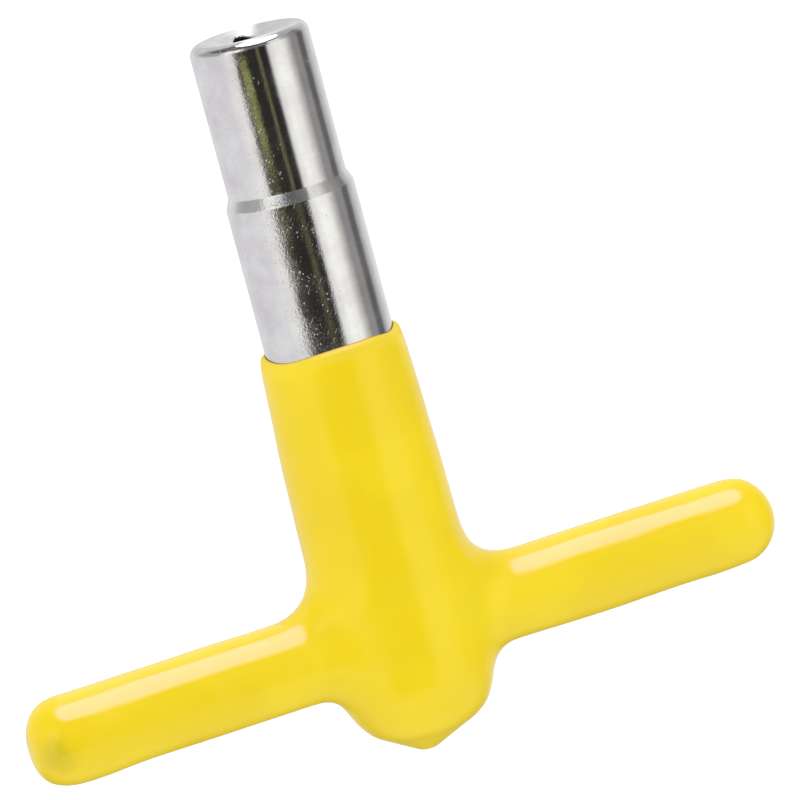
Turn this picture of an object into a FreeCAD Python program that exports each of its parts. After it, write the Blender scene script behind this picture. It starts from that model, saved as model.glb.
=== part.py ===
"""T-handled key for the triangular spindle of a fire hydrant valve.

A turned steel shank has a triangular socket in its nose.  A steel bar passes through the shank's
tail, is welded in, and a one-piece dipped PVC coat covers the bar and the lower half of the shank.

Frame: millimetres, origin at the centre of the socket's mouth, +Z out of the socket along the
shank, X along the cross bar.  Depths are measured from the mouth plane towards the tail.
"""

import FreeCAD, Part
import math
import os

import Sketcher
from FreeCAD import Vector

# Driving dimensions: alias, value, meaning.  Millimetres, or degrees where the meaning says so.
DIMENSIONS = [
    ("shank_radius", 9.0, "shank body, an 18 mm round bar"),
    ("nose_radius", 8.3, "turned nose, which enters the valve's recess"),
    ("step_start_depth", 21.6, "nose end of the cone between nose and body"),
    ("step_end_depth", 23.2, "body end of that cone"),
    ("nose_chamfer_across", 1.1, "outer edge of the mouth, measured across the face"),
    ("nose_chamfer_along", 1.6, "outer edge of the mouth, measured along the nose"),
    ("dish_radius", 6.8, "rim of the dished face round the socket"),
    ("dish_slope", 0.3, "fall of the dished face per millimetre of radius"),
    ("triangle_side", 9.0, "socket, sharp corner to sharp corner"),
    ("triangle_turn", -3.0, "degrees from +Y towards +X of the socket's far corner"),
    ("triangle_corner_radius", 0.7, "socket's inner corners"),
    ("socket_depth", 14.0, "triangular part of the socket"),
    ("pilot_radius", 2.5, "drilled hole that the socket was formed from"),
    ("pilot_depth", 18.5, "full-diameter part of that hole"),
    ("drill_tip_length", 1.5, "cone at the bottom of that hole"),
    ("bar_depth", 85.8, "axis of the cross bar"),
    ("bar_radius", 5.0, "cross bar, a 10 mm rod"),
    ("bar_length", 106.0, "cross bar, end to end"),
    ("bar_chamfer", 1.0, "ends of the cross bar"),
    ("tail_depth", 98.4, "tail face of the shank"),
    ("tail_chamfer", 2.0, "edge of the tail face"),
    ("weld_round", 1.8, "concave face of the weld beads"),
    ("coat_mouth_depth", 43.8, "edge of the coat on the shank"),
    ("coat_mouth_radius", 10.15, "outside of the coat at its edge"),
    ("coat_rim_round", 0.9, "outer edge of the coat's mouth"),
    ("coat_flare_depth", 76.0, "where the coat's slow flare ends"),
    ("coat_hub_radius", 11.3, "outside of the coat round the cross bar"),
    ("coat_shoulder_depth", 95.2, "lower end of that cylinder"),
    ("coat_corner_radius", 8.4, "radius at which the bottom turns inwards"),
    ("coat_corner_depth", 98.9, "depth at which the bottom turns inwards"),
    ("coat_tip_radius", 0.9, "flat of the drip at the very bottom"),
    ("coat_tip_depth", 103.2, "lowest point of the drip"),
    ("coat_bottom_round", 1.5, "roundings of the coat's bottom"),
    ("arm_radius", 6.3, "outside of the coat on the arms"),
    ("arm_reach", 55.6, "coated arm tip from the shank's axis"),
    ("arm_tip_round", 5.7, "rounding of the arm tips"),
    ("arm_root_round", 2.9, "fillet between the arms and the hub"),
]
SHEET = "dims"

# Two measures closer than this, in millimetres, are the same edge or corner.
SAME = 1e-3
# A pocket that takes away less than this, in cubic millimetres, has missed the solid.
LEAST_CUT = 1.0

doc = FreeCAD.newDocument("hydrant_t_key")
sheet = doc.addObject("Spreadsheet::Sheet", SHEET)
for row, (alias, value, meaning) in enumerate(DIMENSIONS, start=1):
    sheet.set(f"A{row}", str(value))
    sheet.setAlias(f"A{row}", alias)
    sheet.set(f"B{row}", meaning)
doc.recompute()


def dim(alias):
    """The expression that reads one cell of the sheet."""
    return f"{SHEET}.{alias}"


def value_of(expression):
    """What an expression on the sheet's cells comes to."""
    return float(sheet.evalExpression(expression))


def bind(target, path, expression):
    """Ties one property of a feature to the sheet."""
    target.setExpression(path, expression)


def new_body(name):
    body = doc.addObject("PartDesign::Body", name)
    body.Label = name
    return body


def new_sketch(body, name, role):
    """An empty sketch on the body's own origin plane of that role."""
    sketch = body.newObject("Sketcher::SketchObject", name)
    plane = next(item for item in body.Origin.OriginFeatures if item.Role == role)
    sketch.AttachmentSupport = [(plane, "")]
    sketch.MapMode = "FlatFace"
    return sketch


def fix_point(sketch, edge, end, across, up):
    """Holds one end of an edge at two expressions; an expression of "0" puts it on the axis."""
    for kind, axis, expression in (("DistanceX", -2, across), ("DistanceY", -1, up)):
        if expression == "0":
            sketch.addConstraint(Sketcher.Constraint("PointOnObject", edge, end, axis))
            continue
        constraint = Sketcher.Constraint(kind, -1, 1, edge, end, value_of(expression))
        index = sketch.addConstraint(constraint)
        bind(sketch, f"Constraints[{index}]", expression)


def closed_outline(sketch, corners):
    """Straight edges through corners, each a pair of expressions for across and up."""
    points = [Vector(value_of(across), value_of(up), 0) for across, up in corners]
    count = len(points)
    for i in range(count):
        sketch.addGeometry(Part.LineSegment(points[i], points[(i + 1) % count]))
    for i in range(count):
        joint = Sketcher.Constraint("Coincident", i, 2, (i + 1) % count, 1)
        sketch.addConstraint(joint)
    for i, (across, up) in enumerate(corners):
        fix_point(sketch, i, 1, across, up)


def revolve(body, name, sketch, axis):
    feature = body.newObject("PartDesign::Revolution", name)
    feature.Profile = sketch
    feature.ReferenceAxis = (sketch, [axis])
    feature.Angle = 360
    sketch.Visibility = False
    doc.recompute()
    return feature


def is_circle(edge):
    return isinstance(edge.Curve, Part.Circle)


def edges_where(feature, test):
    """Names of the feature's edges that pass the test."""
    edges = feature.Shape.Edges
    return [f"Edge{i}" for i, edge in enumerate(edges, start=1) if test(edge)]


def circles_at(feature, axis, position, radius):
    """Full circles of that radius, centred on the given axis at that position along it."""
    def test(edge):
        if not is_circle(edge) or abs(edge.Curve.Radius - radius) > SAME:
            return False
        return abs(edge.Curve.Center[axis] - position) < SAME
    return edges_where(feature, test)


def dress(body, kind, name, base, edges, size_path, expression):
    """A fillet or chamfer on the named edges of the body's last feature."""
    feature = body.newObject(f"PartDesign::{kind}", name)
    feature.Base = (base, edges)
    setattr(feature, size_path, value_of(expression))
    bind(feature, size_path, expression)
    doc.recompute()
    return feature


# --- Shank: turned, dished and drilled in one outline, then the socket and the cross hole. ---

def make_socket_shank():
    body = new_body("socket_shank")
    profile = new_sketch(body, "shank_profile", "XZ_Plane")
    tail = f"-{dim('tail_depth')}"
    dish_fall = f"{dim('dish_slope')} * ({dim('dish_radius')} - {dim('pilot_radius')})"
    tail_edge = f"{dim('shank_radius')} - {dim('tail_chamfer')}"
    closed_outline(profile, [
        ("0", f"-{dim('pilot_depth')} - {dim('drill_tip_length')}"),
        (dim("pilot_radius"), f"-{dim('pilot_depth')}"),
        (dim("pilot_radius"), f"-({dish_fall})"),
        (dim("dish_radius"), "0"),
        (f"{dim('nose_radius')} - {dim('nose_chamfer_across')}", "0"),
        (dim("nose_radius"), f"-{dim('nose_chamfer_along')}"),
        (dim("nose_radius"), f"-{dim('step_start_depth')}"),
        (dim("shank_radius"), f"-{dim('step_end_depth')}"),
        (dim("shank_radius"), f"{tail} + {dim('tail_chamfer')}"),
        (tail_edge, tail),
        ("0", tail),
    ])
    turned = revolve(body, "turned_bar", profile, "V_Axis")

    # The socket: an equilateral triangle about the axis, cut from the mouth plane downwards.
    triangle = new_sketch(body, "socket_triangle", "XY_Plane")
    reach = f"{dim('triangle_side')} / sqrt(3)"
    corners = []
    for bearing in (0, 120, 240):
        angle = f"({dim('triangle_turn')} + {bearing}) * 1deg"
        corners.append((f"{reach} * sin({angle})", f"{reach} * cos({angle})"))
    closed_outline(triangle, corners)
    socket = body.newObject("PartDesign::Pocket", "triangular_socket")
    socket.Profile = triangle
    socket.Length = value_of(dim("socket_depth"))
    bind(socket, "Length", dim("socket_depth"))
    doc.recompute()
    check_cut(socket, turned)

    # Its corners are rounded the whole way down.
    corner_reach = value_of(reach)

    def is_corner(edge):
        if len(edge.Vertexes) != 2:
            return False
        return all(abs(math.hypot(v.X, v.Y) - corner_reach) < SAME for v in edge.Vertexes)

    rounded = dress(body, "Fillet", "socket_corners", socket, edges_where(socket, is_corner),
                    "Radius", dim("triangle_corner_radius"))

    # The cross hole, the same size as the bar that is pressed into it.
    circle = new_sketch(body, "cross_hole_circle", "YZ_Plane")
    centre = Vector(0, value_of(f"-{dim('bar_depth')}"), 0)
    circle.addGeometry(Part.Circle(centre, Vector(0, 0, 1), value_of(dim("bar_radius"))))
    radius = Sketcher.Constraint("Radius", 0, value_of(dim("bar_radius")))
    index = circle.addConstraint(radius)
    bind(circle, f"Constraints[{index}]", dim("bar_radius"))
    fix_point(circle, 0, 3, "0", f"-{dim('bar_depth')}")
    hole = body.newObject("PartDesign::Pocket", "cross_hole")
    hole.Profile = circle
    hole.Type = "ThroughAll"
    hole.Midplane = True
    doc.recompute()
    check_cut(hole, rounded)
    return body


def check_cut(cut, before):
    """A pocket that points away from the solid cuts nothing, and says nothing."""
    if cut.Shape.Volume > before.Shape.Volume - LEAST_CUT:
        raise RuntimeError(f"{cut.Label} removed no material")


# --- Cross bar: a plain rod with chamfered ends. ---

def make_cross_bar():
    body = new_body("cross_bar")
    profile = new_sketch(body, "bar_profile", "XZ_Plane")
    end = f"{dim('bar_length')} / 2"
    closed_outline(profile, [
        (f"-{end}", "0"),
        (end, "0"),
        (end, dim("bar_radius")),
        (f"-{end}", dim("bar_radius")),
    ])
    rod = revolve(body, "rod", profile, "H_Axis")
    ends = []
    for position in (value_of(end), -value_of(end)):
        ends += circles_at(rod, 0, position, value_of(dim("bar_radius")))
    dress(body, "Chamfer", "rod_ends", rod, ends, "Size", dim("bar_chamfer"))
    bind(body, "Placement.Base.z", f"-{dim('bar_depth')}")
    return body


# --- Weld beads: one collar on each side, in the corner between the bar and the shank. ---

def add_crossing(body, name, half_span, radius):
    """Adds a round bar along X at the cross bar's depth, to a body that has an upright one."""
    profile = new_sketch(body, f"{name}_profile", "XZ_Plane")
    axis = f"-{dim('bar_depth')}"
    top = f"{radius} - {dim('bar_depth')}"
    closed_outline(profile, [
        (f"-({half_span})", axis),
        (half_span, axis),
        (half_span, top),
        (f"-({half_span})", top),
    ])
    return revolve(body, name, profile, "Edge1")


def fillet_crossing(body, name, base, upright_radius, crossing_radius, round_size):
    """Fillets the two closed edges where the crossing bar leaves the upright one."""
    upright = value_of(upright_radius)
    crossing = value_of(crossing_radius)
    level = value_of(dim("bar_depth"))

    def is_root(edge):
        if is_circle(edge):
            return False
        middle = edge.valueAt((edge.FirstParameter + edge.LastParameter) / 2)
        on_upright = abs(math.hypot(middle.x, middle.y) - upright) < SAME
        on_crossing = abs(math.hypot(middle.y, middle.z + level) - crossing) < SAME
        return on_upright and on_crossing

    return dress(body, "Fillet", name, base, edges_where(base, is_root), "Radius", round_size)


def make_weld_beads(shank, bar):
    """A plain crossing of the two bars with filleted corners, less the two bars themselves.

    The crossing runs past the ends of the fillets in height and in width, so that each one is whole.
    """
    form = new_body("weld_form")
    profile = new_sketch(form, "weld_form_profile", "XZ_Plane")
    half_height = f"({dim('bar_radius')} + 2 * {dim('weld_round')})"
    low = f"-{dim('bar_depth')} - {half_height}"
    high = f"-{dim('bar_depth')} + {half_height}"
    closed_outline(profile, [
        ("0", low),
        (dim("shank_radius"), low),
        (dim("shank_radius"), high),
        ("0", high),
    ])
    revolve(form, "weld_form_upright", profile, "V_Axis")
    half_span = f"{dim('shank_radius')} + 3 * {dim('weld_round')}"
    crossing = add_crossing(form, "weld_form_crossing", half_span, dim("bar_radius"))
    fillet_crossing(form, "weld_form_fillets", crossing, dim("shank_radius"), dim("bar_radius"),
                    dim("weld_round"))
    bars = doc.addObject("Part::Fuse", "shank_and_bar")
    bars.Base = shank
    bars.Tool = bar
    beads = doc.addObject("Part::Cut", "weld_beads")
    beads.Label = "weld_beads"
    beads.Base = form
    beads.Tool = bars
    doc.recompute()
    return beads


# --- Coat: one dipped skin, turned outlines for the hub and the arms, then the steel cut out. ---

def make_grip_coat(steel):
    solid = new_body("coat_outside")
    profile = new_sketch(solid, "hub_profile", "XZ_Plane")
    closed_outline(profile, [
        ("0", f"-{dim('coat_mouth_depth')}"),
        (dim("coat_mouth_radius"), f"-{dim('coat_mouth_depth')}"),
        (dim("coat_hub_radius"), f"-{dim('coat_flare_depth')}"),
        (dim("coat_hub_radius"), f"-{dim('coat_shoulder_depth')}"),
        (dim("coat_corner_radius"), f"-{dim('coat_corner_depth')}"),
        (dim("coat_tip_radius"), f"-{dim('coat_tip_depth')}"),
        ("0", f"-{dim('coat_tip_depth')}"),
    ])
    revolve(solid, "hub", profile, "V_Axis")

    arms = add_crossing(solid, "arms", dim("arm_reach"), dim("arm_radius"))
    roots = fillet_crossing(solid, "arm_roots", arms, dim("coat_hub_radius"), dim("arm_radius"),
                            dim("arm_root_round"))

    tips = []
    for position in (value_of(dim("arm_reach")), -value_of(dim("arm_reach"))):
        tips += circles_at(roots, 0, position, value_of(dim("arm_radius")))
    ends = dress(solid, "Fillet", "arm_tips", roots, tips, "Radius", dim("arm_tip_round"))

    bottom = circles_at(ends, 2, -value_of(dim("coat_shoulder_depth")),
                        value_of(dim("coat_hub_radius")))
    bottom += circles_at(ends, 2, -value_of(dim("coat_corner_depth")),
                         value_of(dim("coat_corner_radius")))
    under = dress(solid, "Fillet", "bottom_corners", ends, bottom,
                  "Radius", dim("coat_bottom_round"))

    mouth = circles_at(under, 2, -value_of(dim("coat_mouth_depth")),
                       value_of(dim("coat_mouth_radius")))
    dress(solid, "Fillet", "mouth_rim", under, mouth, "Radius", dim("coat_rim_round"))

    core = doc.addObject("Part::MultiFuse", "steel_core")
    core.Shapes = steel
    coat = doc.addObject("Part::Cut", "grip_coat")
    coat.Label = "grip_coat"
    coat.Base = solid
    coat.Tool = core
    doc.recompute()
    return coat


def write_parts(parts):
    """Checks every object of the document, then writes each sub-part to its own STEP file."""
    for item in doc.Objects:
        if "Invalid" in item.State or "Error" in item.State:
            raise RuntimeError(f"{item.Label} failed: {item.State}")
    for part in parts:
        if part.Shape.isNull() or not part.Shape.isValid() or not part.Shape.Solids:
            raise RuntimeError(f"{part.Label} has no valid solid")
    os.makedirs("parts", exist_ok=True)
    for part in parts:
        part.Shape.exportStep(os.path.join("parts", f"{part.Label}.step"))
        solids = len(part.Shape.Solids)
        print(f"{part.Label}: {solids} solid(s), {part.Shape.Volume:.1f} mm3")


socket_shank = make_socket_shank()
cross_bar = make_cross_bar()
weld_beads = make_weld_beads(socket_shank, cross_bar)
grip_coat = make_grip_coat([socket_shank, cross_bar, weld_beads])
doc.recompute()
write_parts([socket_shank, cross_bar, weld_beads, grip_coat])
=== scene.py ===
"""Looks of a T-handled hydrant key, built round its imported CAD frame.

The plated shank and the dipped coat are remade as fine meshes.  The cross bar and its welds, which
the coat hides, keep their CAD shapes.  Outlines are in millimetres in the CAD frame: the origin is
the centre of the socket's mouth, +Z points out of the socket and X runs along the cross bar.
"""

import math

import bmesh
import bpy
import numpy as np
from mathutils import Matrix, Vector, noise


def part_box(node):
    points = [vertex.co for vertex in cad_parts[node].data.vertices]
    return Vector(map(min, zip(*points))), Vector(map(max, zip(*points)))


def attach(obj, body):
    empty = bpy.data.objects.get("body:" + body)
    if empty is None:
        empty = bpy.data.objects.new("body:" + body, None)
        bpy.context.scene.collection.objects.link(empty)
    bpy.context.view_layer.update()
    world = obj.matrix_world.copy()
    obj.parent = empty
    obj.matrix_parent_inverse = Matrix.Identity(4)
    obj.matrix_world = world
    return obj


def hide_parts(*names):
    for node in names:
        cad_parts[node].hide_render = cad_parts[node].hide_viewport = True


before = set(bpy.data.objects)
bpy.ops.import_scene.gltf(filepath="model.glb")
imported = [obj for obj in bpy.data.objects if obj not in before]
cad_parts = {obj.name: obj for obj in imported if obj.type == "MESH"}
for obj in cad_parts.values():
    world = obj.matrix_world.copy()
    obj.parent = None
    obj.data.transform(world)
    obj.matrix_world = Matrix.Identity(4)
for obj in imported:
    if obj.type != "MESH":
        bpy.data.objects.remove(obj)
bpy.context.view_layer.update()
scene = bpy.context.scene

MM = 0.001


# ---------------------------------------------------------------- sizes taken from the CAD nodes

shank_low, shank_high = (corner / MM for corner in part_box("socket_shank"))
bar_low, bar_high = (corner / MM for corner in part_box("cross_bar"))
coat_low, coat_high = (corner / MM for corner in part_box("grip_coat"))

SHANK_RADIUS = shank_high.x
TAIL = shank_low.z
BAR_LEVEL = (bar_low.z + bar_high.z) / 2
MOUTH = coat_high.z
HUB_RADIUS = coat_high.y - 0.04
DRIP = coat_low.z + 0.3
ARM_RADIUS = 6.24

# The nose's end and what is cut into it.
NOSE_END = -0.15
DISH_RADIUS = 6.8
DISH_SLOPE = 0.3
TRIANGLE_SIDE = 9.0
TRIANGLE_CORNER = 0.7
TRIANGLE_BEARING = 93.0
SOCKET_FLOOR = -14.0
PILOT_RADIUS = 2.5
PILOT_FLOOR = -18.5
PILOT_TIP = -20.0


# ---------------------------------------------------------------- outlines and meshes

# How many times each new mesh is subdivided.
FINENESS = 2


def rounded(corners, steps=6):
    """Points of a path of straight runs and arcs; each corner is (first, second, radius)."""
    points = []
    for i, (first, second, radius) in enumerate(corners):
        here = Vector((first, second))
        if radius == 0:
            points.append(here)
            continue
        back = (Vector(corners[i - 1][:2]) - here).normalized()
        ahead = (Vector(corners[i + 1][:2]) - here).normalized()
        half = back.angle(ahead) / 2
        centre = here + (back + ahead).normalized() * (radius / math.sin(half))
        reach = radius / math.tan(half)
        start = (here + back * reach - centre).normalized()
        end = (here + ahead * reach - centre).normalized()
        for step in range(steps + 1):
            points.append(centre + start.slerp(end, step / steps) * radius)
    return points


def divided(points, longest):
    """The same path, with no step longer than that."""
    path = [points[0]]
    for start, end in zip(points, points[1:]):
        count = max(1, math.ceil((end - start).length / longest))
        path += [start.lerp(end, step / count) for step in range(1, count + 1)]
    return path


def at_share(points, share):
    """The point at that share of a path's length."""
    lengths = [(end - start).length for start, end in zip(points, points[1:])]
    left = share * sum(lengths)
    for start, end, length in zip(points, points[1:], lengths):
        if left <= length:
            return start.lerp(end, left / length)
        left -= length
    return points[-1]


def smooth(value):
    """Eases from 0 to 1 as value goes from 0 to 1."""
    value = np.clip(value, 0.0, 1.0)
    return value * value * (3 - 2 * value)


def bump_round(angle, centre, half_width):
    """A swelling of height 1 at one bearing of a turned piece, all three in degrees."""
    turn = np.radians(angle - centre)
    return np.exp((np.cos(turn) - 1) / math.radians(half_width) ** 2)


def new_piece(name, mesh, materials, node):
    """Makes an object of a bmesh in millimetres that stands for a CAD node."""
    bmesh.ops.scale(mesh, vec=Vector((MM, MM, MM)), verts=mesh.verts)
    bmesh.ops.recalc_face_normals(mesh, faces=mesh.faces)
    data = bpy.data.meshes.new(name)
    mesh.to_mesh(data)
    mesh.free()
    for polygon in data.polygons:
        polygon.use_smooth = True
    for material in materials:
        data.materials.append(material)
    piece = bpy.data.objects.new(name, data)
    scene.collection.objects.link(piece)
    fine = piece.modifiers.new("fine", "SUBSURF")
    fine.levels = FINENESS
    fine.render_levels = FINENESS
    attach(piece, "root")
    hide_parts(node)
    return piece


# ---------------------------------------------------------------- grip coat

# Quads round the hub.  An arm's opening in it is a square block of them, BLOCK_REACH high each way
# from the bar, and a bridge of rings leads from there to where the arm's own rings start.
AROUND = 48
HALF_BLOCK = AROUND // 8
BLOCK_REACH = 8.2
BRIDGE_RINGS = 7
ARM_START = 19.5
# Widths of the soft corners between hub and arms, above the bar and below it.
UPPER_FILLET = 7.2
LOWER_FILLET = 3.7
# Where those corners end along the bar and, above and below it, on the hub.
FILLETS_END = ARM_START + 6
FILLETS_TOP = -66.0
FILLETS_BOTTOM = -101.0

# Outline of the hub, from the crevice at the steel down to the drip: (radius, height, rounding).
HUB_TOP = [
    (SHANK_RADIUS - 0.3, MOUTH - 0.5, 0),
    (SHANK_RADIUS + 0.14, MOUTH - 0.02, 0.12),
    (9.8, MOUTH - 0.3, 0.8),
    (10.22, MOUTH - 2.2, 9.0),
    (10.86, -60.0, 20),
    (HUB_RADIUS, -76.5, 60),
]
HUB_FOOT = [
    (HUB_RADIUS, -94.2, 12.0),
    (8.6, -98.8, 7.0),
    (1.1, DRIP, 3.0),
    (0, DRIP, 0),
]
HUB_OUTLINE = rounded(HUB_TOP + HUB_FOOT, 8)

# Dips in the coat's edge, where it ran down before it set: (bearing, depth, half width).  They fade
# out over DIP_FADE below the edge.
MOUTH_DIPS = [(-152, 0.75, 22), (-40, 0.55, 13), (48, 0.4, 26), (118, 0.2, 16)]
DIP_FADE = 7.0
# Runs that gathered under the arms: (distance along the bar, depth, half length).
ARM_RUNS = [(-47.5, 0.4, 5), (30, 0.15, 7), (46, 0.15, 3)]
# Where the coat leans towards -X as it goes down: (top, height of the ease, how far).
LEANS = [(-48, 12, 0.1), (-88, 8, 0.3), (-97.5, 6, 0.8)]
# How far the underside of the left arm's tip hangs outwards.
TIP_SAG = 0.5
# Depth of the coat's long waves.
UNEVENNESS = 0.07
# Each arm's reach, radius at the end and rounding there; 1 is the arm towards +X.
ARM_ENDS = {1: (coat_high.x - 0.35, 6.1, 5.4), -1: (-coat_low.x - 0.1, 6.2, 5.2)}
ARM_TAPER_START = 36.0


def hub_distance(radius, height):
    """Signed distance to the hub's outline, positive outside."""
    outline = np.array([tuple(point) for point in HUB_OUTLINE])
    start = outline[:-1]
    run = outline[1:] - start
    offset = np.stack([radius, height], axis=1)[:, None, :] - start[None]
    share = np.clip((offset * run).sum(axis=2) / (run * run).sum(axis=1), 0, 1)
    gap = np.linalg.norm(offset - share[..., None] * run, axis=2)
    nearest = gap.argmin(axis=1)
    row = np.arange(len(radius))
    run, offset = run[nearest], offset[row, nearest]
    side = run[:, 0] * offset[:, 1] - run[:, 1] * offset[:, 0]
    return gap[row, nearest] * np.sign(side)


def hub_place(height):
    """The point of the hub's outline at that height, anywhere below its lip."""
    below = [point for point in reversed(HUB_OUTLINE) if point.y < MOUTH - 2]
    radius = np.interp(height, [point.y for point in below], [point.x for point in below])
    return Vector((radius, height))


def coat_distance(points):
    """Distance to the hub and the arms run together, with wider corners above than below."""
    x, y, z = points.T
    hub = hub_distance(np.hypot(x, y), z)
    arm = np.hypot(y, z - BAR_LEVEL) - ARM_RADIUS
    above = smooth((z - BAR_LEVEL) / ARM_RADIUS) ** 2
    width = LOWER_FILLET + (UPPER_FILLET - LOWER_FILLET) * above
    overlap = np.clip(width - np.abs(hub - arm), 0, None) / width
    return np.minimum(hub, arm) - overlap ** 2 * width / 4


def settle_on_coat(points):
    """Moves points along the field's slope until they lie on the coat's surface."""
    step = 0.01
    for _ in range(5):
        value = coat_distance(points)
        slope = np.stack([
            coat_distance(points + step * axis) - coat_distance(points - step * axis)
            for axis in np.eye(3)
        ], axis=1) / (2 * step)
        steepness = np.maximum((slope ** 2).sum(axis=1), 0.05)
        points = points - slope * (value / steepness)[:, None]
    return points


def square_angle(i, j):
    """Bearing of a place in a square grid: equal steps round its rim turn by equal angles."""
    size = max(abs(i), abs(j), 1)
    eighth = math.pi / 4
    if i == size:
        return eighth * j / size % math.tau
    if j == size:
        return eighth * (2 - i / size)
    if i == -size:
        return eighth * (4 - j / size)
    return eighth * (6 + i / size)


def join_rings(mesh, first, second):
    """Quads between two closed rings of equal count."""
    count = len(first)
    for i in range(count):
        k = (i + 1) % count
        mesh.faces.new((first[i], first[k], second[k], second[i]))


def add_hub(mesh):
    """The turned body of the coat, with a square opening on each side for an arm."""
    high, low = BAR_LEVEL + BLOCK_REACH, BAR_LEVEL - BLOCK_REACH
    cells = 2 * HALF_BLOCK
    top = [point for point in HUB_OUTLINE if point.y > high + 0.4]
    top = divided(top + [hub_place(high)], 1.5)
    side = [hub_place(high + (low - high) * i / cells) for i in range(1, cells)]
    foot = [point for point in HUB_OUTLINE if point.y < low - 0.4]
    foot = divided([hub_place(low)] + foot, 1.0)[:-1]
    rows = []
    for radius, height in top + side + foot:
        ring = []
        for column in range(AROUND):
            angle = math.tau * column / AROUND
            ring.append(mesh.verts.new((radius * math.cos(angle), radius * math.sin(angle), height)))
        rows.append(ring)
    first = len(top) - 1
    for i in range(len(rows) - 1):
        beside_arm = first <= i < first + cells
        for j in range(AROUND):
            k = (j + 1) % AROUND
            from_arm = (j + HALF_BLOCK) % (AROUND // 2)
            if beside_arm and from_arm < cells:
                continue
            mesh.faces.new((rows[i][j], rows[i][k], rows[i + 1][k], rows[i + 1][j]))
    lowest = mesh.verts.new((0, 0, DRIP))
    inside = mesh.verts.new((0, 0, rows[0][0].co.z))
    for j in range(AROUND):
        k = (j + 1) % AROUND
        mesh.faces.new((rows[-1][j], rows[-1][k], lowest))
        mesh.faces.new((rows[0][k], rows[0][j], inside))
    return rows[first:first + cells + 1]


def add_arm(mesh, block, side):
    """One arm, from its opening in the hub to its rounded end; side is 1 or -1 along X."""
    reach, end_radius, end_round = ARM_ENDS[side]
    places = [(i, j) for i in range(-HALF_BLOCK, HALF_BLOCK + 1)
              for j in range(-HALF_BLOCK, HALF_BLOCK + 1)]
    rim = sorted((place for place in places if max(map(abs, place)) == HALF_BLOCK),
                 key=lambda place: square_angle(*place))

    def on_hub(i, j):
        column = i if side == 1 else AROUND // 2 - i
        return block[HALF_BLOCK - j][column % AROUND]

    def on_arm(distance, radius, i, j):
        angle = square_angle(i, j)
        height = BAR_LEVEL + radius * math.sin(angle)
        return mesh.verts.new((side * distance, radius * math.cos(angle), height))

    outline = rounded([
        (ARM_START, ARM_RADIUS, 0),
        (ARM_TAPER_START, ARM_RADIUS, 0),
        (reach, end_radius, end_round),
        (reach, 0, 0),
    ])
    turn = outline.index(next(point for point in outline if point.y < end_radius - 0.3))
    stations = divided(outline[:turn + 1], 1.4)
    cap = outline[turn:]

    opening = [on_hub(i, j) for i, j in rim]
    rings = [[on_arm(distance, radius, i, j) for i, j in rim] for distance, radius in stations]
    bridge = []
    for step in range(1, BRIDGE_RINGS + 1):
        share = step / (BRIDGE_RINGS + 1)
        ring = [mesh.verts.new(a.co.lerp(b.co, share)) for a, b in zip(opening, rings[0])]
        bridge.append(ring)
    whole = [opening] + bridge + rings
    for first, second in zip(whole, whole[1:]):
        join_rings(mesh, first, second)

    grid = dict(zip(rim, rings[-1]))
    for i, j in places:
        if (i, j) not in grid:
            distance, radius = at_share(cap, 1 - max(abs(i), abs(j)) / HALF_BLOCK)
            grid[i, j] = on_arm(distance, radius, i, j)
    for i in range(-HALF_BLOCK, HALF_BLOCK):
        for j in range(-HALF_BLOCK, HALF_BLOCK):
            mesh.faces.new((grid[i, j], grid[i + 1, j], grid[i + 1, j + 1], grid[i, j + 1]))
    return [vertex for ring in bridge for vertex in ring]


def shape_coat(mesh, bridges):
    """Runs hub and arms into each other, then adds the unevenness of a dipped skin."""
    mesh.verts.index_update()
    points = np.array([vertex.co for vertex in mesh.verts])
    x, y, z = points.T
    near = (np.abs(x) < FILLETS_END) & (z < FILLETS_TOP) & (z > FILLETS_BOTTOM)
    neighbours = {v.index: [e.other_vert(v).index for e in v.link_edges] for v in bridges}
    for _ in range(8):
        relaxed = points.copy()
        for index, around in neighbours.items():
            relaxed[index] = points[around].mean(axis=0)
        points = relaxed
        points[near] = settle_on_coat(points[near])

    x, y, z = points.T
    bearing = np.degrees(np.arctan2(y, x))
    drop = sum(depth * bump_round(bearing, centre, width) for centre, depth, width in MOUTH_DIPS)
    z = z - drop * smooth((z - MOUTH + DIP_FADE) / DIP_FADE)
    under = smooth((BAR_LEVEL - z) / ARM_RADIUS)
    for centre, depth, length in ARM_RUNS:
        z = z - depth * under * np.exp(-((x - centre) / length) ** 2)
    x = x - TIP_SAG * under * smooth((-50 - x) / 4)
    x = x - sum(shift * smooth((top - z) / ease) for top, ease, shift in LEANS)
    # Nothing passes the CAD coat's end.
    x = np.maximum(x, coat_low.x + 0.02)
    for vertex, place in zip(mesh.verts, zip(x, y, z)):
        vertex.co = place

    mesh.normal_update()
    for vertex in mesh.verts:
        wave = noise.noise(vertex.co * 0.11) + 0.6 * noise.noise(vertex.co * 0.26)
        inwards = min(0.0, wave - 1.0)
        if vertex.co.z < MOUTH - 1:
            vertex.co += vertex.normal * (UNEVENNESS * inwards)


def make_coat(material):
    """The dipped coat: one skin over the hub and both arms."""
    mesh = bmesh.new()
    block = add_hub(mesh)
    bridges = add_arm(mesh, block, 1) + add_arm(mesh, block, -1)
    loose = [vertex for vertex in mesh.verts if not vertex.link_faces]
    bmesh.ops.delete(mesh, geom=loose, context="VERTS")
    bmesh.ops.recalc_face_normals(mesh, faces=mesh.faces)
    shape_coat(mesh, bridges)
    return new_piece("dipped_grip", mesh, [material], "grip_coat")


# ---------------------------------------------------------------- shank

COLUMNS = 96
CORNER_STEPS = 8
SIDE_STEPS = (COLUMNS // 3 - CORNER_STEPS) // 2
DISH_ROWS = 9

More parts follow.
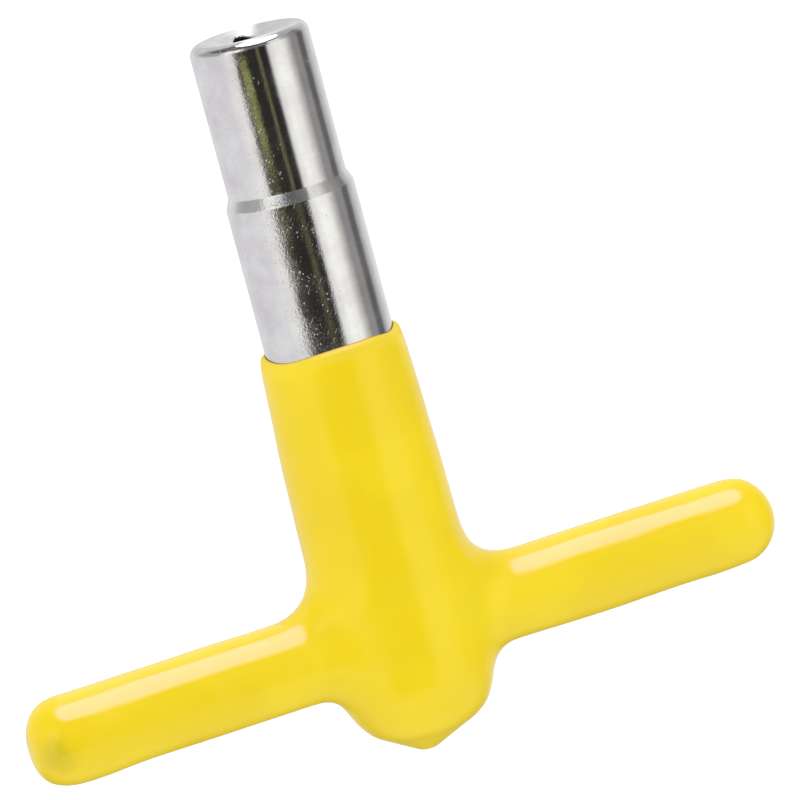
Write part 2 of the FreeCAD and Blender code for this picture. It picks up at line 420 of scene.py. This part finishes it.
# Outline of the turned steel from the dish to the tail: (radius, height, rounding).
SHANK_OUTLINE = [
    (6.3, NOSE_END - 0.15, 0),
    (DISH_RADIUS, NOSE_END, 0.15),
    (8.38, NOSE_END, 1.5),
    (8.3, -21.55, 0.7),
    (SHANK_RADIUS, -23.2, 0.6),
    (SHANK_RADIUS, TAIL + 2.0, 0),
    (SHANK_RADIUS - 2.0, TAIL, 0),
]


def dish_height(radius):
    """Height of the hollow end face at that distance from the axis."""
    return NOSE_END - DISH_SLOPE * (DISH_RADIUS - radius)


def triangle_rim():
    """Radius and bearing of the socket's outline, point by point; a third has one corner."""
    inner = TRIANGLE_SIDE / (2 * math.sqrt(3))
    straight = TRIANGLE_SIDE / 2 - TRIANGLE_CORNER * math.sqrt(3)
    centre = 2 * (inner - TRIANGLE_CORNER)
    lower = []
    for step in range(SIDE_STEPS):
        run = straight * step / SIDE_STEPS
        middle = Vector((inner / 2, -inner * math.sqrt(3) / 2))
        lower.append(middle + run * Vector((math.sqrt(3) / 2, 0.5)))
    arc = []
    for step in range(CORNER_STEPS + 1):
        angle = math.radians(-60 + 120 * step / CORNER_STEPS)
        spoke = Vector((math.cos(angle), math.sin(angle)))
        arc.append(Vector((centre, 0)) + TRIANGLE_CORNER * spoke)
    upper = [Vector((point.x, -point.y)) for point in reversed(lower[1:])]
    rim = []
    for third in range(3):
        bearing = math.radians(TRIANGLE_BEARING + 120 * third)
        for point in lower + arc + upper:
            rim.append((point.length, bearing + math.atan2(point.y, point.x)))
    return rim


def add_ring(mesh, places):
    """A ring of vertices at (radius, bearing, height) places."""
    return [mesh.verts.new((radius * math.cos(bearing), radius * math.sin(bearing), height))
            for radius, bearing, height in places]


def make_shank(materials):
    """The turned steel with its socket and pilot; the second material is the dished face's."""
    mesh = bmesh.new()
    rim = triangle_rim()
    start = math.radians(TRIANGLE_BEARING - 60)
    even = [start + math.tau * column / COLUMNS for column in range(COLUMNS)]
    turned = divided(rounded(SHANK_OUTLINE), 3.0)
    dish_edge = turned[0].x

    # From the bottom of the pilot hole up through the socket.
    rings = [add_ring(mesh, [(PILOT_RADIUS, bearing, PILOT_FLOOR) for bearing in even])]
    rings.append(add_ring(mesh, [(PILOT_RADIUS, bearing, SOCKET_FLOOR - 0.1) for bearing in even]))
    rings.append(add_ring(mesh, [(PILOT_RADIUS + 0.03, bearing, SOCKET_FLOOR) for bearing in even]))
    for height in (SOCKET_FLOOR, SOCKET_FLOOR + 0.15, -9.0, -5.0):
        rings.append(add_ring(mesh, [(radius, bearing, height) for radius, bearing in rim]))
    for depth, outwards in ((0.3, 0.0), (0.1, 0.0), (0.03, 0.03), (0.0, 0.1)):
        rings.append(add_ring(mesh, [
            (radius + outwards, bearing, dish_height(radius + outwards) - depth)
            for radius, bearing in rim
        ]))
    # Across the dish, where the triangle's spacing turns into even spacing.
    first_dish = len(rings) - 1
    for step in range(1, DISH_ROWS):
        share = step / DISH_ROWS
        places = []
        for (radius, bearing), straight in zip(rim, even):
            mixed = radius + 0.1 + (dish_edge - radius - 0.1) * share
            places.append((mixed, bearing + (straight - bearing) * share, dish_height(mixed)))
        rings.append(add_ring(mesh, places))
    for radius, height in turned:
        rings.append(add_ring(mesh, [(radius, bearing, height) for bearing in even]))
    last_dish = first_dish + DISH_ROWS + 1
    for i, (first, second) in enumerate(zip(rings, rings[1:])):
        before = len(mesh.faces)
        join_rings(mesh, first, second)
        mesh.faces.ensure_lookup_table()
        for face in mesh.faces[before:]:
            face.material_index = 1 if first_dish <= i < last_dish else 0
    for ring, height in ((rings[0], PILOT_TIP), (rings[-1], TAIL)):
        middle = mesh.verts.new((0, 0, height))
        for i in range(COLUMNS):
            mesh.faces.new((ring[i], ring[(i + 1) % COLUMNS], middle))
    return new_piece("plated_shank", mesh, materials, "socket_shank")


# ---------------------------------------------------------------- shader building blocks

def add(tree, kind, inputs, **settings):
    """Adds a node; inputs maps socket names or numbers to values or to other nodes' outputs."""
    made = tree.nodes.new(kind)
    for name, value in settings.items():
        setattr(made, name, value)
    for name, value in inputs.items():
        if isinstance(value, bpy.types.NodeSocket):
            tree.links.new(value, made.inputs[name])
        else:
            made.inputs[name].default_value = value
    return made


def new_material(name):
    """A material, its tree, its shader and the coordinates of places on the piece."""
    material = bpy.data.materials.new(name)
    material.use_nodes = True
    tree = material.node_tree
    place = add(tree, "ShaderNodeTexCoord", {}).outputs["Object"]
    return material, tree, tree.nodes["Principled BSDF"], place


def stretched(tree, place, scale):
    """Coordinates scaled unevenly, to draw noise out into lines."""
    return add(tree, "ShaderNodeMapping", {"Vector": place, "Scale": scale}).outputs["Vector"]


def grain(tree, place, size, detail=3.0, roughness=0.5):
    """Soft noise whose features are about that many millimetres across."""
    made = add(tree, "ShaderNodeTexNoise", {
        "Vector": place, "Scale": 1 / (size * MM), "Detail": detail, "Roughness": roughness,
    })
    return made.outputs["Fac"]


def between(tree, value, low, high, start=0.0, end=1.0):
    """Maps value smoothly from the range low..high to start..end."""
    made = add(tree, "ShaderNodeMapRange", {
        "Value": value, "From Min": low, "From Max": high, "To Min": start, "To Max": end,
    }, interpolation_type="SMOOTHSTEP")
    return made.outputs["Result"]


def calc(tree, operation, first, second):
    """One arithmetic step on two values."""
    made = add(tree, "ShaderNodeMath", {0: first, 1: second}, operation=operation)
    return made.outputs["Value"]


def blend(tree, share, first, second):
    """Mixes two colours; share 1 is all second."""
    made = add(tree, "ShaderNodeMix", {0: share, 6: first, 7: second}, data_type="RGBA")
    return made.outputs[2]


def bump(tree, height, depth, below=None):
    """Raises the surface by up to depth millimetres; below is the normal of an earlier bump."""
    inputs = {"Height": height, "Distance": depth * MM, "Strength": 1.0}
    if below is not None:
        inputs["Normal"] = below
    return add(tree, "ShaderNodeBump", inputs).outputs["Normal"]


def turned_place(tree, place):
    """Coordinates in which a turned piece's tool marks are straight lines."""
    parts = add(tree, "ShaderNodeSeparateXYZ", {"Vector": place})
    flat = add(tree, "ShaderNodeCombineXYZ", {"X": parts.outputs["X"], "Y": parts.outputs["Y"]})
    radius = add(tree, "ShaderNodeVectorMath", {0: flat.outputs["Vector"]}, operation="LENGTH")
    made = add(tree, "ShaderNodeCombineXYZ", {
        "X": radius.outputs["Value"], "Z": parts.outputs["Z"],
    })
    return made.outputs["Vector"]


# ---------------------------------------------------------------- materials

# Bearing of the side of the shank that was rubbed and scratched, in degrees.
RUBBED_BEARING = -123.0


def plated_steel():
    """Bright plating over turned steel: tool marks, cloudy patches, and a rubbed side with pits."""
    material, tree, shader, place = new_material("plated_steel")
    cloud = grain(tree, place, 4.0, 4.0, 0.6)
    mottle = grain(tree, place, 0.9, 4.0, 0.65)
    tone = blend(tree, between(tree, cloud, 0.3, 0.7), (0.80, 0.785, 0.80, 1), (0.93, 0.93, 0.92, 1))
    tone = blend(tree, between(tree, mottle, 0.56, 0.75, 0.0, 0.5), tone, (0.70, 0.68, 0.70, 1))
    tree.links.new(tone, shader.inputs["Base Color"])
    shader.inputs["Metallic"].default_value = 1.0
    tree.links.new(between(tree, cloud, 0.35, 0.7, 0.07, 0.12), shader.inputs["Roughness"])

    # The side that was rubbed: how far a place lies out in that direction.
    side = math.radians(RUBBED_BEARING)
    out = add(tree, "ShaderNodeVectorMath", {0: place, 1: (math.cos(side), math.sin(side), 0)},
              operation="DOT_PRODUCT").outputs["Value"]
    rubbed = between(tree, out, 7.0 * MM, 8.8 * MM)

    # Fine tool marks and long waves all over.
    marks = grain(tree, turned_place(tree, place), 0.09, 2.0)
    normal = bump(tree, marks, 0.0006)
    normal = bump(tree, grain(tree, place, 3.5, 2.0), 0.014, normal)

    # Wear on the rubbed side, patchy, and less of it on the nose than on the wider body.
    patch = between(tree, grain(tree, place, 5.0, 2.0), 0.32, 0.54, 0.4, 1.0)
    parts = add(tree, "ShaderNodeSeparateXYZ", {"Vector": place})
    by_height = between(tree, parts.outputs["Z"], -27 * MM, -19 * MM, 1.0, 0.6)
    worn = calc(tree, "MULTIPLY", calc(tree, "MULTIPLY", patch, rubbed), by_height)
    rough = calc(tree, "MULTIPLY", grain(tree, place, 0.36, 3.0, 0.6), worn)
    normal = bump(tree, rough, 0.055, normal)

    # Slanting scratches there, and small pits that are common there and rare elsewhere.
    turn = add(tree, "ShaderNodeMapping", {"Vector": place, "Rotation": (0, math.radians(-35), 0)})
    scratch = grain(tree, stretched(tree, turn.outputs["Vector"], (1, 1, 0.08)), 0.2, 2.0)
    scratch = calc(tree, "MULTIPLY", between(tree, scratch, 0.65, 0.72), worn)
    normal = bump(tree, scratch, -0.012, normal)
    cells = add(tree, "ShaderNodeTexVoronoi", {"Vector": place, "Scale": 1 / (0.55 * MM)})
    pit = between(tree, cells.outputs["Distance"], 0.10, 0.24, 1.0, 0.0)
    common = between(tree, rubbed, 0.0, 1.0, 0.64, 0.50)
    rare = between(tree, calc(tree, "SUBTRACT", grain(tree, place, 2.0, 3.0), common), 0.0, 0.04)
    normal = bump(tree, calc(tree, "MULTIPLY", pit, rare), -0.02, normal)
    tree.links.new(normal, shader.inputs["Normal"])
    return material


def turned_face():
    """The dished face: finely turned, so reflections stay wedges with clean edges."""
    material, tree, shader, place = new_material("turned_face")
    cloud = grain(tree, place, 1.5, 3.0)
    tone = blend(tree, between(tree, cloud, 0.35, 0.7), (0.86, 0.855, 0.865, 1), (0.94, 0.94, 0.94, 1))
    tree.links.new(tone, shader.inputs["Base Color"])
    shader.inputs["Metallic"].default_value = 1.0
    shader.inputs["Anisotropic"].default_value = 0.5
    tree.links.new(between(tree, cloud, 0.3, 0.7, 0.10, 0.16), shader.inputs["Roughness"])
    tangent = add(tree, "ShaderNodeTangent", {}, direction_type="RADIAL", axis="Z")
    tree.links.new(tangent.outputs["Tangent"], shader.inputs["Tangent"])
    marks = grain(tree, turned_place(tree, place), 0.2, 2.0)
    tree.links.new(bump(tree, marks, 0.001), shader.inputs["Normal"])
    return material


def dipped_pvc():
    """Glossy yellow skin with slight flow marks, dust specks, a handling smudge and painted shade
    along the steel.
    """
    material, tree, shader, place = new_material("dipped_pvc")
    tone = blend(tree, between(tree, grain(tree, place, 14.0, 2.0), 0.35, 0.65),
                 (0.825, 0.61, 0.003, 1), (0.865, 0.654, 0.005, 1))
    speck = between(tree, grain(tree, place, 0.5, 1.0), 0.79, 0.83, 0.0, 0.35)
    tone = blend(tree, speck, tone, (0.45, 0.30, 0.02, 1))

    # A greenish brown smudge near the end of the left arm.
    middle = (-53.2 * MM, -5.2 * MM, (BAR_LEVEL - 0.6) * MM)
    away = add(tree, "ShaderNodeVectorMath", {0: place, 1: middle}, operation="DISTANCE")
    ragged = calc(tree, "MULTIPLY", grain(tree, place, 3.0, 2.0), 5 * MM)
    smudge = between(tree, calc(tree, "ADD", away.outputs["Value"], ragged),
                     2.4 * MM, 6.4 * MM, 0.42, 0.0)
    tone = blend(tree, smudge, tone, (0.42, 0.36, 0.03, 1))

    # Painted shade: a dark brown band on the coat where it meets the steel, standing in for the shadow
    # in the crevice between them.
    edge = add(tree, "ShaderNodeSeparateXYZ", {"Vector": turned_place(tree, place)})
    inner = between(tree, edge.outputs["X"], (SHANK_RADIUS + 0.06) * MM,
                    (SHANK_RADIUS + 0.2) * MM, 0.75, 0.0)
    upper = between(tree, edge.outputs["Z"], (MOUTH - 3) * MM, (MOUTH - 2) * MM)
    tone = blend(tree, calc(tree, "MULTIPLY", inner, upper), tone, (0.20, 0.11, 0.02, 1))
    tree.links.new(tone, shader.inputs["Base Color"])

    shader.inputs["IOR"].default_value = 1.5
    gloss = between(tree, grain(tree, place, 6.0, 3.0), 0.3, 0.7, 0.16, 0.22)
    lip = between(tree, edge.outputs["Z"], (MOUTH - 2.2) * MM, (MOUTH - 1.2) * MM, 0.0, 0.32)
    tree.links.new(calc(tree, "ADD", gloss, lip), shader.inputs["Roughness"])
    normal = bump(tree, grain(tree, place, 7.0, 2.0), 0.12)
    normal = bump(tree, grain(tree, place, 0.8, 2.0), 0.0025, normal)
    tree.links.new(normal, shader.inputs["Normal"])
    return material


def drawn_steel():
    """Plain drawn rod, grained along the bar."""
    material, tree, shader, place = new_material("drawn_steel")
    lines = grain(tree, stretched(tree, place, (0.03, 1, 1)), 0.2, 3.0)
    tone = blend(tree, lines, (0.34, 0.33, 0.32, 1), (0.55, 0.54, 0.53, 1))
    tree.links.new(tone, shader.inputs["Base Color"])
    shader.inputs["Metallic"].default_value = 1.0
    tree.links.new(between(tree, lines, 0.2, 0.8, 0.3, 0.45), shader.inputs["Roughness"])
    tree.links.new(bump(tree, lines, 0.004), shader.inputs["Normal"])
    return material


def weld_metal():
    """Dull weld metal with heat tint and a coarse ripple."""
    material, tree, shader, place = new_material("weld_metal")
    ripple = grain(tree, place, 0.9, 3.0)
    tone = blend(tree, ripple, (0.22, 0.17, 0.14, 1), (0.40, 0.38, 0.40, 1))
    tree.links.new(tone, shader.inputs["Base Color"])
    shader.inputs["Metallic"].default_value = 1.0
    tree.links.new(between(tree, ripple, 0.2, 0.8, 0.4, 0.6), shader.inputs["Roughness"])
    tree.links.new(bump(tree, ripple, 0.08), shader.inputs["Normal"])
    return material


def studio_floor():
    """Pale paper with a faint tooth."""
    material, tree, shader, place = new_material("studio_floor")
    tooth = grain(tree, place, 1.5, 2.0)
    tree.links.new(blend(tree, tooth, (0.93, 0.93, 0.93, 1), (0.95, 0.95, 0.95, 1)),
                   shader.inputs["Base Color"])
    shader.inputs["Roughness"].default_value = 0.9
    tree.links.new(bump(tree, tooth, 0.02), shader.inputs["Normal"])
    return material


# ---------------------------------------------------------------- studio

# Where the camera stands in metres, which way it looks and which way is up in its picture.
CAMERA_PLACE = Vector((-0.280583, -1.070297, 0.146977))
CAMERA_AIM = Vector((0.25575351, 0.94997346, -0.17927788))
CAMERA_UP = Vector((0.29322679, 0.10048101, 0.95074793))

# What stands round the tool at three heights, by bearing from the camera's side of it in degrees,
# rightwards positive.  Level with it: pale walls, a bright screen on the right and the dark open
# room in front.
ROOM_LEVEL = [
    (-180, (0.64, 0.64, 0.65)),
    (-150, (0.76, 0.75, 0.77)),
    (-120, (0.72, 0.71, 0.73)),
    (-70, (0.74, 0.73, 0.75)),
    (-46, (0.84, 0.83, 0.81)),
    (-38, (0.74, 0.73, 0.69)),
    (-34, (0.11, 0.095, 0.085)),
    (-25, (0.075, 0.065, 0.055)),
    (-18, (0.04, 0.035, 0.03)),
    (-11, (0.025, 0.025, 0.02)),
    (6, (0.025, 0.024, 0.024)),
    (10, (0.17, 0.165, 0.08)),
    (15, (0.02, 0.018, 0.018)),
    (26, (0.03, 0.03, 0.03)),
    (32, (0.80, 0.79, 0.76)),
    (46, (1.0, 1.0, 0.95)),
    (62, (0.92, 0.92, 0.87)),
    (74, (0.56, 0.54, 0.52)),
    (84, (0.29, 0.27, 0.27)),
    (97, (0.29, 0.28, 0.28)),
    (104, (0.13, 0.13, 0.13)),
    (115, (0.13, 0.13, 0.13)),
    (124, (0.44, 0.44, 0.45)),
    (142, (0.70, 0.70, 0.70)),
    (162, (0.82, 0.82, 0.82)),
    (180, (0.64, 0.64, 0.65)),
]
# Above eye level, where the front is only half dark.
ROOM_ABOVE = [
    (-180, (1.10, 1.10, 1.10)),
    (-178, (1.10, 1.10, 1.10)),
    (-176, (0.62, 0.62, 0.63)),
    (-135, (0.62, 0.62, 0.63)),
    (-126, (0.48, 0.48, 0.49)),
    (-114, (0.38, 0.38, 0.38)),
    (-64, (0.42, 0.42, 0.42)),
    (-54, (0.94, 0.94, 0.91)),
    (-24, (1.02, 1.02, 0.97)),
    (-15, (0.42, 0.42, 0.42)),
    (-7, (0.14, 0.14, 0.145)),
    (18, (0.17, 0.17, 0.17)),
    (34, (0.22, 0.22, 0.22)),
    (39, (0.82, 0.82, 0.79)),
    (58, (0.80, 0.79, 0.76)),
    (74, (0.42, 0.41, 0.40)),
    (95, (0.27, 0.27, 0.27)),
    (114, (0.22, 0.22, 0.22)),
    (130, (0.48, 0.48, 0.48)),
    (150, (0.60, 0.60, 0.60)),
    (172, (0.72, 0.72, 0.72)),
    (180, (1.1, 1.1, 1.1)),
]
# Higher still, where dark ceiling surrounds the overhead light.
ROOM_HIGH = [
    (-180, (1.4, 1.4, 1.4)),
    (-178, (1.4, 1.4, 1.4)),
    (-176, (0.62, 0.62, 0.63)),
    (-140, (0.58, 0.58, 0.58)),
    (-124, (0.42, 0.42, 0.42)),
    (-108, (0.14, 0.14, 0.14)),
    (-70, (0.10, 0.10, 0.10)),
    (-50, (0.22, 0.22, 0.22)),
    (-30, (0.08, 0.08, 0.08)),
    (50, (0.12, 0.12, 0.12)),
    (75, (0.50, 0.50, 0.50)),
    (95, (0.42, 0.42, 0.42)),
    (150, (0.50, 0.50, 0.50)),
    (172, (0.95, 0.95, 0.95)),
    (180, (1.4, 1.4, 1.4)),
]


def room_ramp(tree, share, stops):
    """A colour ramp round the horizon."""
    ramp = add(tree, "ShaderNodeValToRGB", {"Fac": share})
    marks = ramp.color_ramp.elements
    while len(marks) < len(stops):
        marks.new(0.5)
    for mark, (degrees, colour) in zip(marks, stops):
        mark.position = 0.5 + degrees / 360
        mark.color = (*colour, 1)
    return ramp.outputs["Color"]


def make_world():
    """Soft white for what is lit directly, plain white for the camera, the room in reflections."""
    world = bpy.data.worlds.new("studio")
    scene.world = world
    world.use_nodes = True
    tree = world.node_tree
    sky = tree.nodes["Background"]
    direction = add(tree, "ShaderNodeTexCoord", {}).outputs["Generated"]
    front = math.atan2(CAMERA_PLACE.y, CAMERA_PLACE.x)
    turned = add(tree, "ShaderNodeMapping", {"Vector": direction, "Rotation": (0, 0, -front)})
    parts = add(tree, "ShaderNodeSeparateXYZ", {"Vector": turned.outputs["Vector"]})
    bearing = calc(tree, "ARCTAN2", parts.outputs["Y"], parts.outputs["X"])
    share = calc(tree, "ADD", calc(tree, "DIVIDE", bearing, math.tau), 0.5)
    # Height is the sine of the angle above the horizon.
    height = parts.outputs["Z"]
    seen = blend(tree, between(tree, height, 0.1, 0.4),
                 room_ramp(tree, share, ROOM_LEVEL), room_ramp(tree, share, ROOM_ABOVE))
    seen = blend(tree, between(tree, height, 0.6, 0.68), seen, room_ramp(tree, share, ROOM_HIGH))
    seen = blend(tree, between(tree, height, 0.9, 0.97), seen, (0.15, 0.15, 0.15, 1))
    ground = blend(tree, between(tree, parts.outputs["X"], -0.7, 0.1),
                   (0.15, 0.15, 0.15, 1), (0.85, 0.85, 0.85, 1))
    seen = blend(tree, between(tree, height, -0.3, -0.6), seen, ground)
    white = blend(tree, between(tree, height, -0.8, 0.0),
                  (1.08, 1.08, 1.08, 1), (0.98, 0.98, 0.98, 1))
    white = blend(tree, between(tree, height, 0.0, 0.9), white, (1.42, 1.42, 1.42, 1))
    ray = add(tree, "ShaderNodeLightPath", {})
    colour = blend(tree, ray.outputs["Is Glossy Ray"], white, seen)
    colour = blend(tree, ray.outputs["Is Camera Ray"], colour, (1, 1, 1, 1))
    tree.links.new(colour, sky.inputs["Color"])


def make_softbox(name, piece, place, aim, shape, size, power, colour):
    """A soft light that shows only in that piece's reflections; places and sizes are in mm."""
    data = bpy.data.lights.new(name, "AREA")
    data.shape = shape
    data.size, data.size_y = (side * MM for side in size)
    data.energy = power
    data.color = colour
    light = bpy.data.objects.new(name, data)
    light.location = Vector(place) * MM
    light.rotation_mode = "QUATERNION"
    light.rotation_quaternion = (Vector(aim) - Vector(place)).to_track_quat("-Z", "Y")
    light.visible_diffuse = False
    lit = bpy.data.collections.new(name + "_lights")
    lit.objects.link(piece)
    light.light_linking.receiver_collection = lit
    light.light_linking.blocker_collection = lit
    scene.collection.objects.link(light)


# The floor's radius and how far it lies below the tool.
FLOOR_RADIUS = 6000.0
FLOOR_DROP = 60.0


def make_floor(material):
    """A wide round sheet of paper a little below the tool, seen by the camera only."""
    mesh = bmesh.new()
    bmesh.ops.create_circle(mesh, cap_ends=True, segments=96, radius=FLOOR_RADIUS * MM)
    data = bpy.data.meshes.new("studio_floor")
    mesh.to_mesh(data)
    mesh.free()
    data.materials.append(material)
    floor = bpy.data.objects.new("studio_floor", data)
    floor.location.z = (DRIP - FLOOR_DROP) * MM
    floor.visible_glossy = False
    floor.visible_diffuse = False
    floor.visible_shadow = False
    scene.collection.objects.link(floor)


def make_camera():
    """A long lens, looking at the tool from a little above its middle."""
    data = bpy.data.cameras.new("camera")
    data.sensor_width = 36.0
    data.lens = 369.0
    data.clip_end = 50.0
    camera = bpy.data.objects.new("camera", data)
    right = CAMERA_AIM.cross(CAMERA_UP)
    turn = Matrix((right, CAMERA_UP, -CAMERA_AIM)).transposed()
    camera.rotation_mode = "QUATERNION"
    camera.rotation_quaternion = turn.to_quaternion()
    camera.location = CAMERA_PLACE
    scene.collection.objects.link(camera)
    scene.camera = camera


def paint_node(name, material):
    """Gives a CAD node a procedural material in place of its plain one."""
    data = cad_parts[name].data
    data.materials.clear()
    data.materials.append(material)


make_camera()
make_world()
make_floor(studio_floor())
grip = make_coat(dipped_pvc())
shank = make_shank([plated_steel(), turned_face()])
# One overhead light for both pieces, white on the steel and tinted on the coat.
overhead = {"place": (170, -200, 1000), "aim": (170, -200, 0), "shape": "ELLIPSE", "size": (900, 1120)}
make_softbox("overhead", shank, **overhead, power=5.5, colour=(1.0, 1.0, 1.0))
make_softbox("overhead_on_grip", grip, **overhead, power=17.5, colour=(0.8, 0.34, 1.0))
# An olive card beside the nose.
make_softbox("card", shank, place=(-62, -88.5, -24.2), aim=(0, 0, -11), shape="RECTANGLE",
             size=(25, 15), power=2.9e-4, colour=(0.9, 1.0, 0.25))
paint_node("cross_bar", drawn_steel())
paint_node("weld_beads", weld_metal())
scene.view_settings.view_transform = "Standard"
